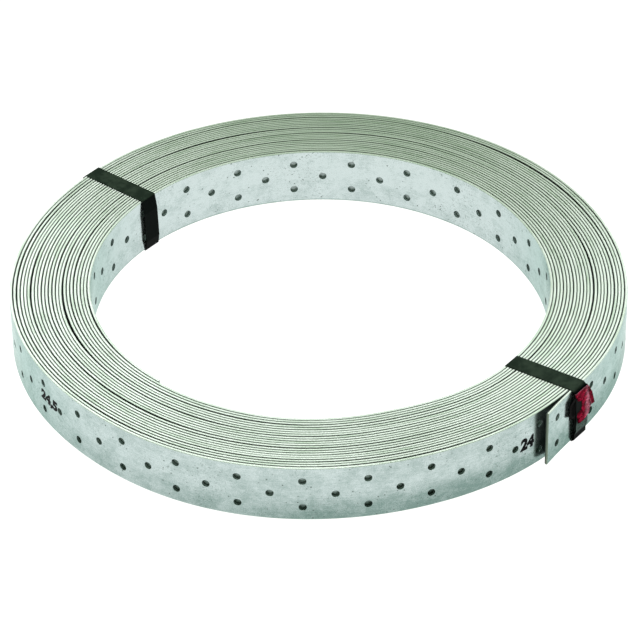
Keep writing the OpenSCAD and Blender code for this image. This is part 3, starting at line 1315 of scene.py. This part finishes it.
@dataclass
class LengthMark:
    """A plain number printed on the strap, which says how many metres are left.

    It runs from one direction round the axis to another, both in degrees.
    """

    name: str
    text: str
    begins: float
    ends: float
    height: float = 9.4 * MM
    base: float = 15.6 * MM
    slant: float = 0.08
    weight: float = 0.062
    extrude: float = 0.1
    film: float = 0.03 * MM
    sunk: float = 0.2

    def build(self, winding: Winding) -> bpy.types.Object:
        """Set the number flat, make it a mesh, and lay it on the strap's outer face.

        Args:
            winding: the winding that the strap follows.

        Returns:
            The printed number.
        """
        curve = bpy.data.curves.new(self.name, "FONT")
        curve.body, curve.shear, curve.offset = self.text, self.slant, self.weight
        curve.extrude, curve.resolution_u = self.extrude, 6
        flat = bpy.data.objects.new(self.name, curve)
        bpy.context.scene.collection.objects.link(flat)
        seen = flat.evaluated_get(bpy.context.evaluated_depsgraph_get())
        mesh = bpy.data.meshes.new_from_object(seen)
        bpy.data.objects.remove(flat)
        bpy.data.curves.remove(curve)
        drawn = np.empty(len(mesh.vertices) * 3, np.float32)
        mesh.vertices.foreach_get("co", drawn)
        drawn = drawn.reshape(-1, 3).astype(float)
        low, high = drawn.min(axis=0), drawn.max(axis=0)
        share = (drawn - low) / (high - low)
        start = winding.length_toward(self.begins)
        along = start + share[:, 0] * (winding.length_toward(self.ends) - start)
        depth = -(self.sunk + (1 - self.sunk) * share[:, 2]) * self.film
        strip = np.column_stack([along, self.base + share[:, 1] * self.height, depth])
        mesh.vertices.foreach_set("co", winding.place(strip).astype(np.float32).reshape(-1))
        mesh.name = self.name
        mesh.update()
        mark = bpy.data.objects.new(self.name, mesh)
        bpy.context.scene.collection.objects.link(mark)
        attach(mark, "root")
        return mark


# --------------------------------------------------------------------------- the studio


@dataclass
class Studio:
    """The floor, the lights and the camera."""

    azimuth: float = math.radians(-53.0)
    elevation: float = math.radians(36.1088)
    distance: float = 2.29771
    roll: float = math.radians(-0.8547)
    focal: float = 3502.70
    side: float = 640.0
    sensor: float = 36.0
    off_centre: tuple[float, float] = (-1.13, 6.376)
    floor_size: float = 8.0
    floor_lines: int = 9
    floor_gap: float = 0.05 * MM
    sky: float = 0.35
    sky_tint: Colour = (0.68, 1.0, 0.56)
    box_side: float = 0.3
    box_spread: float = math.radians(120.0)
    box_tint: Colour = (1.02, 1.0, 1.08)
    boxes: tuple[tuple[str, tuple[float, float, float], float], ...] = (
        ("left_box", (-0.140, 0.242, 0.30), 0.71),
        ("near_box", (-0.242, -0.140, 0.30), 0.38),
        ("right_box", (0.160, -0.230, 0.30), 0.58),
    )

    def camera(self) -> bpy.types.Object:
        """Place the camera.

        Returns:
            The camera, which looks at the middle of the eye from one side and above.
        """
        data = bpy.data.cameras.new("camera")
        data.sensor_width = self.sensor
        data.lens = self.focal * self.sensor / self.side
        data.shift_x = -self.off_centre[0] / self.side
        data.shift_y = self.off_centre[1] / self.side
        data.clip_end = 50.0
        made = bpy.data.objects.new("camera", data)
        a, e = self.azimuth, self.elevation
        back = Vector((math.sin(a) * math.cos(e), -math.cos(a) * math.cos(e), math.sin(e)))
        turn = back.to_track_quat("Z", "Y").to_matrix().to_4x4() @ Matrix.Rotation(self.roll, 4, "Z")
        made.matrix_world = Matrix.Translation(back * self.distance) @ turn
        bpy.context.scene.collection.objects.link(made)
        bpy.context.scene.camera = made
        return made

    def lamp(self, name: str, place: tuple[float, float, float], power: float) -> None:
        """Hang one soft box, which faces straight down.

        Args:
            name: its name.
            place: where it hangs.
            power: its power in watts.
        """
        data = bpy.data.lights.new(name, "AREA")
        data.shape, data.size, data.spread = "SQUARE", self.box_side, self.box_spread
        data.energy, data.color = power, self.box_tint
        made = bpy.data.objects.new(name, data)
        made.location = place
        made.visible_camera = False
        bpy.context.scene.collection.objects.link(made)

    def floor(self) -> bpy.types.Object:
        """Lay the floor just under the frame's lowest point."""
        low, half = CAD_BOX[0].z - self.floor_gap, self.floor_size / 2
        steps = np.linspace(-half, half, self.floor_lines)
        y, x = np.meshgrid(steps[::-1], steps, indexing="ij")
        skin = Skin()
        skin.sheet(np.stack([x, y, low + 0 * x], axis=-1), UP)
        made = new_object("studio_floor", *skin.welded(), {})
        made.data.materials.append(PaleFloorPaint().make())
        return made

    def build(self) -> None:
        """Set up the whole studio."""
        self.camera()
        self.floor()
        for name, place, power in self.boxes:
            self.lamp(name, place, power)
        world = bpy.data.worlds.new("studio")
        world.use_nodes = True
        background = world.node_tree.nodes["Background"]
        background.inputs["Color"].default_value = (*self.sky_tint, 1.0)
        background.inputs["Strength"].default_value = self.sky
        bpy.context.scene.world = world
        bpy.context.scene.view_settings.view_transform = "Standard"


def in_mm(rows: list[tuple[float, ...]]) -> list[tuple[float, ...]]:
    """Rows of lengths that are listed in millimetres."""
    return [tuple(value * MM for value in row) for row in rows]


def front_bands_seal() -> Seal:
    """The front seal, whose right side is bent out and whose notches have torn into flaps."""
    left = [(38.4, -7.0), (34.3, -5.2), (30.6, -3.0), (29.4, 0.6), (25.1, 1.3), (21.5, 1.3)]
    left += [(21.2, -3.2), (18.7, -3.5), (12.6, -2.1)]
    right = [(38.4, 6.5), (32.0, 7.5), (24.5, 9.4), (20.4, 10.9), (18.8, 10.3), (15.2, 8.3)]
    right += [(14.0, 6.1), (12.6, 3.4)]
    flaps = [
        [(204.25, 6.5, 38.1), (204.3, 11.3, 30.3), (204.5, 9.4, 23.8), (204.2, 7.4, 31.8)],
        [(204.3, 11.3, 30.3), (204.4, 14.5, 20.0), (204.6, 10.7, 20.6), (204.5, 9.4, 23.8)],
        # The left flap lies behind the front, so it takes the near-black painted shade.
        [(203.2, -5.0, 36.0), (202.9, -11.0, 31.5), (202.8, -11.6, 21.5), (203.2, -5.0, 17.5)],
    ]
    return Seal(
        "front_band_seal", "front_seal", FRONT, 1.9 * MM, in_mm(left), in_mm(right),
        [in_mm(flap) for flap in flaps], back_r=202.7 * MM, flare=0.06,
    )


def rear_bands_seal() -> Seal:
    """The rear seal, with two square notches in each side."""
    right = [(37.6, 6.8), (33.0, 6.8), (32.9, 4.6), (29.1, 4.6), (29.0, 6.8), (22.0, 6.8)]
    right += [(21.9, 4.6), (18.1, 4.6), (18.0, 6.8), (12.4, 6.8)]
    left = [(z, -x) for z, x in right]
    return Seal(
        "rear_band_seal", "rear_seal", REAR, 0.0, in_mm(left), in_mm(right), [],
        front_r=200.75 * MM, back_r=199.0 * MM, crush=0.1 * MM, seed=5,
    )


def coat(made: bpy.types.Object, material: bpy.types.Material) -> None:
    """Give a piece its finish and report it."""
    made.data.materials.clear()
    made.data.materials.append(material)
    log.info("%s: %d faces", made.name, len(made.data.polygons))


def main() -> None:
    """Build the roll piece by piece, then the studio."""
    logging.basicConfig(level=logging.INFO, format="%(name)s: %(message)s")
    winding = Winding()
    log.info("strip of %.3f m, %.2f turns", winding.length, winding.end_angle / TURN)
    coat(StrapCoil(winding).build(), GalvanisedSteel().make())
    black, red, ink = BlackBandPaint().make(), RedSealPaint().make(), BlackInk().make()
    bands = [
        TieBand(
            "front_tie_band", "front_band", FRONT, eye_r=153.2 * MM, corner_r=201.1 * MM,
            eye_side=-1.8 * MM, leg_side=1.4 * MM, leg_lean=1.7 * MM, lap_side=1.2 * MM,
            pale_lap_top=13.0 * MM,
        ),
        TieBand(
            "rear_tie_band", "rear_band", REAR, eye_r=147.7 * MM, corner_r=197.9 * MM,
            leg_r=199.3 * MM, eye_lean=-1.5 * MM, bow=1.4 * MM,
        ),
    ]
    for band in bands:
        coat(band.build(), black)
    for seal in (front_bands_seal(), rear_bands_seal()):
        coat(seal.build(), red)
    marks = [
        LengthMark("length_mark_a", "24,5", 155.1, 161.2),
        LengthMark("length_mark_b", "24", 255.1, 258.5),
    ]
    for mark in marks:
        coat(mark.build(winding), ink)
    Studio().build()


if __name__ == "__main__":
    main()
